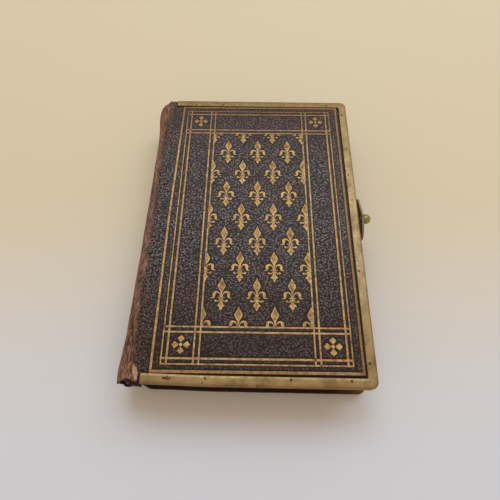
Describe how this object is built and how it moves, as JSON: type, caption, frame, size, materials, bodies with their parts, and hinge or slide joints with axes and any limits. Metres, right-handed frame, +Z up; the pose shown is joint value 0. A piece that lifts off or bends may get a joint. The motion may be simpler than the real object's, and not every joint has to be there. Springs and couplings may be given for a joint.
{
  "type": "prayer book",
  "caption": "Small leather-bound prayer book with brass-rimmed boards, gilt tooling, opening covers and leaves, and a hinged brass clasp at the fore-edge.",
  "frame": {"origin": "centre of the lower cover's outer face, on which the closed book lies", "axes": "+Z up through the thickness of the closed book, +X from spine to fore-edge and clasp, +Y from tail to head"},
  "size_m": [0.092, 0.124, 0.02],
  "materials": {
    "millboard": "matt grey-brown pasteboard",
    "morocco": "near-black brown morocco, pebbled, worn, gilt tooled",
    "rim_brass": "patinated olive-yellow brass, rubbed brighter on the fore-edge",
    "pin_brass": "dark tarnished brass",
    "endpaper": "aged cream laid paper",
    "leaves": "thin paper with gilt edges",
    "linen": "unbleached linen tape",
    "lining_paper": "glue-stained mull and paper",
    "endband_silk": "silk worked over a core, faded red and cream",
    "spine_leather": "same leather rubbed to a brown suede on the spine",
    "clasp_brass": "dark toned brass, lighter at its edges",
    "knob_brass": "polished brass"
  },
  "bodies": {
    "lower_cover": {"lower_board": "millboard", "lower_leather": "morocco", "lower_rim": "rim_brass", "lower_rim_pins": "pin_brass", "lower_pastedown": "endpaper", "clasp_hinge": "clasp_brass", "clasp_pin": "pin_brass"},
    "rear_block": {"rear_section_1": "leaves", "rear_section_2": "leaves", "rear_section_3": "leaves", "rear_section_4": "leaves", "rear_sewing_tapes": "linen", "rear_spine_lining": "lining_paper", "rear_endbands": "endband_silk", "rear_spine_leather": "spine_leather"},
    "front_block": {"front_section_1": "leaves", "front_section_2": "leaves", "front_section_3": "leaves", "front_section_4": "leaves", "front_sewing_tapes": "linen", "front_spine_lining": "lining_paper", "front_endbands": "endband_silk", "front_spine_leather": "spine_leather"},
    "upper_cover": {"upper_board": "millboard", "upper_leather": "morocco", "upper_rim": "rim_brass", "upper_rim_pins": "pin_brass", "upper_pastedown": "endpaper"},
    "rear_flyleaf": {"rear_flyleaf": "endpaper"},
    "front_flyleaf": {"front_flyleaf": "endpaper"},
    "clasp": {"clasp_hasp": "clasp_brass", "clasp_knob": "knob_brass"}
  },
  "joints": [
    {"name": "lower_cover_hinge", "type": "hinge", "parent": "lower_cover", "child": "rear_block", "pos_m": [-0.0395, 0, 0], "axis": [0, -1, 0], "range_deg": [0, 100]},
    {"name": "book_opening", "type": "hinge", "parent": "rear_block", "child": "front_block", "pos_m": [-0.0481, 0, 0.01], "axis": [0, -1, 0], "range_deg": [0, 115]},
    {"name": "upper_cover_hinge", "type": "hinge", "parent": "front_block", "child": "upper_cover", "pos_m": [-0.0395, 0, 0.02], "axis": [0, -1, 0], "range_deg": [0, 125]},
    {"name": "front_flyleaf_turn", "type": "hinge", "parent": "front_block", "child": "front_flyleaf", "pos_m": [-0.039, 0, 0.01655], "axis": [0, -1, 0], "range_deg": [0, 45]},
    {"name": "rear_flyleaf_turn", "type": "hinge", "parent": "rear_block", "child": "rear_flyleaf", "pos_m": [-0.039, 0, 0.00345], "axis": [0, 1, 0], "range_deg": [0, 45]},
    {"name": "clasp_swing", "type": "hinge", "parent": "lower_cover", "child": "clasp", "pos_m": [0.0402, 0.0015, 0.0016], "axis": [0, 1, 0], "range_deg": [0, 80]}
  ],
  "couplings": [
    {"joint": "front_flyleaf_turn", "follows": "upper_cover_hinge", "ratio": 0.35},
    {"joint": "rear_flyleaf_turn", "follows": "lower_cover_hinge", "ratio": 0.35}
  ]
}
